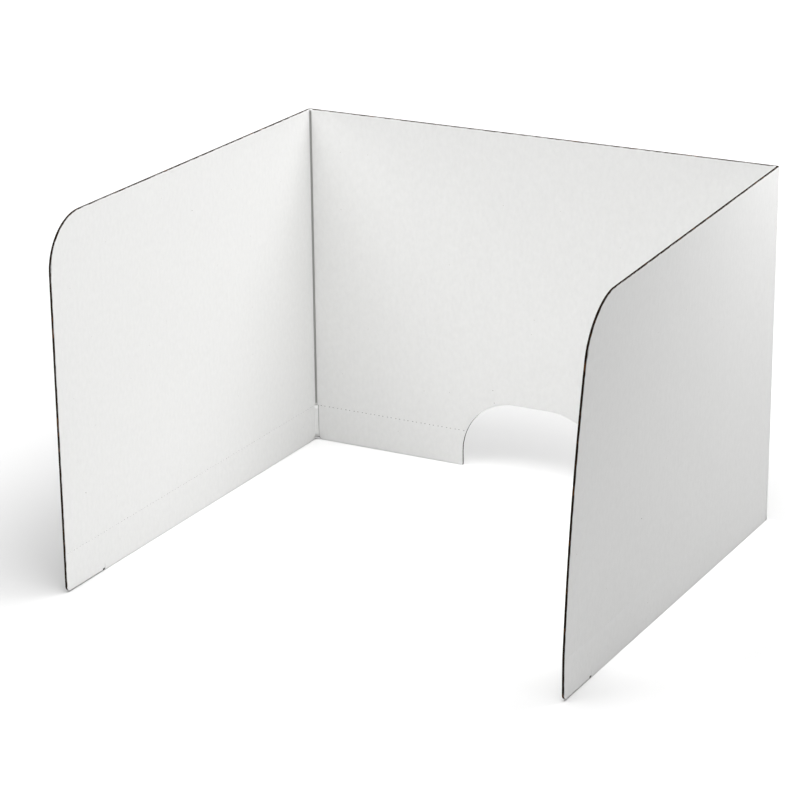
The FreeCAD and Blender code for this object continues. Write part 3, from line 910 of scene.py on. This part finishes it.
def floor_material():
    """A matt grey paper sweep, which the camera sees lifted towards white.

    The lift grows away from the object, past its shadow; between the panels it is painted light, a
    pool that takes out the shade at the panels' feet.
    """
    material, tree, shader = new_material("white_paper_sweep")
    shader.inputs["Roughness"].default_value = 1.0
    shader.inputs["Specular IOR Level"].default_value = 0.0
    seen = add_node(tree, "ShaderNodeLightPath").outputs["Is Camera Ray"]
    colour = add_node(tree, "ShaderNodeMix",
                      {0: seen, 6: linear(FLOOR_BOUNCE), 7: linear(FLOOR_SEEN)}, data_type="RGBA")
    tree.links.new(colour.outputs[2], shader.inputs["Base Color"])
    place = add_node(tree, "ShaderNodeTexCoord").outputs["Object"]
    away = add_node(tree, "ShaderNodeVectorMath", {0: place}, operation="LENGTH").outputs["Value"]
    lift = add_node(tree, "ShaderNodeMapRange",
                    {"Value": away, "From Min": LIFT_FROM, "From Max": LIFT_FULL}).outputs[0]
    sides = add_node(tree, "ShaderNodeSeparateXYZ", {0: place})
    bay_painted_light = BAY_PAINTED_LIGHT
    past = BOARD + BAY_FADE_OUTSIDE
    front = INNER_Y - WING_DEPTH
    for side, gone, full in (("X", LEFT_FOLD_X - past, LEFT_FOLD_X + BAY_FADE_INSIDE),
                             ("X", RIGHT_FOLD_X + BAY_FADE_RIGHT, RIGHT_FOLD_X),
                             ("Y", INNER_Y + past, INNER_Y - BAY_FADE_INSIDE),
                             ("Y", front, front + BAY_FADE_FRONT)):
        share = add_node(
            tree, "ShaderNodeMapRange",
            {"Value": sides.outputs[side], "From Min": gone, "From Max": full},
            interpolation_type="SMOOTHSTEP",
        )
        bay_painted_light = add_node(tree, "ShaderNodeMath", {0: bay_painted_light, 1: share.outputs[0]},
                       operation="MULTIPLY").outputs[0]
    lift = add_node(tree, "ShaderNodeMath", {0: lift, 1: bay_painted_light}, operation="ADD").outputs[0]
    strength = add_node(tree, "ShaderNodeMath", {0: seen, 1: lift}, operation="MULTIPLY")
    tree.links.new(strength.outputs[0], shader.inputs["Emission Strength"])
    shader.inputs["Emission Color"].default_value = (1, 1, 1, 1)
    return material


floor_mesh = bpy.data.meshes.new("floor")
floor_mesh.from_pydata(
    [(x * FLOOR_HALF, y * FLOOR_HALF, -FLOOR_DROP)
     for x, y in ((-1, -1), (1, -1), (1, 1), (-1, 1))],
    [], [(0, 1, 2, 3)])
floor_mesh.materials.append(floor_material())
floor = link_object("floor", floor_mesh)

# The camera and the gloss see the world as white, and it lights the object only faintly.
WORLD_STRENGTH = 0.02
world = bpy.data.worlds.new("studio")
bpy.context.scene.world = world
world.use_nodes = True
world_tree = world.node_tree
world_tree.nodes.clear()
path = add_node(world_tree, "ShaderNodeLightPath")
seen = add_node(world_tree, "ShaderNodeMath",
                {0: path.outputs["Is Camera Ray"], 1: path.outputs["Is Glossy Ray"]},
                operation="MAXIMUM")
strength = add_node(world_tree, "ShaderNodeMix", {0: seen.outputs[0], 2: WORLD_STRENGTH, 3: 1.0})
background = add_node(world_tree, "ShaderNodeBackground",
                      {"Color": (1, 1, 1, 1), "Strength": strength.outputs[0]})
add_node(world_tree, "ShaderNodeOutputWorld", {"Surface": background.outputs[0]})

# The lamps: azimuth from the front to the right, elevation, distance, width, watts.
LAMPS = {
    "overhead": (0, 89, 2.4, 3.0, 90.2),
    "right_front": (55, 58, 2.4, 1.6, 19.4),
    "low_front": (15, 15, 2.6, 1.6, 5.3),
    "left_front": (-40, 45, 2.6, 1.6, 17.7),
    "back_right": (150, 60, 2.6, 1.6, 28.4),
    "near_right": (125, 30, 0.95, 0.4, 1.5),
}
LAMP_TARGET = Vector((0, 0, 0.2))
for name, (azimuth, elevation, distance, width, power) in LAMPS.items():
    azimuth, elevation = math.radians(azimuth), math.radians(elevation)
    away = Vector((math.sin(azimuth) * math.cos(elevation),
                   -math.cos(azimuth) * math.cos(elevation), math.sin(elevation)))
    lamp = bpy.data.lights.new(name, "AREA")
    lamp.shape = "SQUARE"
    lamp.size = width
    lamp.energy = power
    stand = link_object(name, lamp)
    stand.location = LAMP_TARGET + away * distance
    stand.rotation_euler = away.to_track_quat("Z", "Y").to_euler()

CAMERA_PLACE = (1.5227, -2.8785, 1.3647)
CAMERA_TURN = (28.652, 19.624, -0.605)    # degrees: round to the left, down, and rolled
CAMERA_LENS = 130.3                       # millimetres
camera_data = bpy.data.cameras.new("camera")
camera_data.lens = CAMERA_LENS
camera = link_object("camera", camera_data)
azimuth, pitch, roll = (math.radians(angle) for angle in CAMERA_TURN)
turn = (Matrix.Rotation(azimuth, 4, "Z") @ Matrix.Rotation(math.pi / 2 - pitch, 4, "X")
        @ Matrix.Rotation(roll, 4, "Z"))
camera.rotation_euler = turn.to_euler()
camera.location = CAMERA_PLACE
camera_data.clip_start = 0.05
camera_data.clip_end = 100.0
bpy.context.scene.camera = camera
bpy.context.scene.view_settings.view_transform = "Standard"
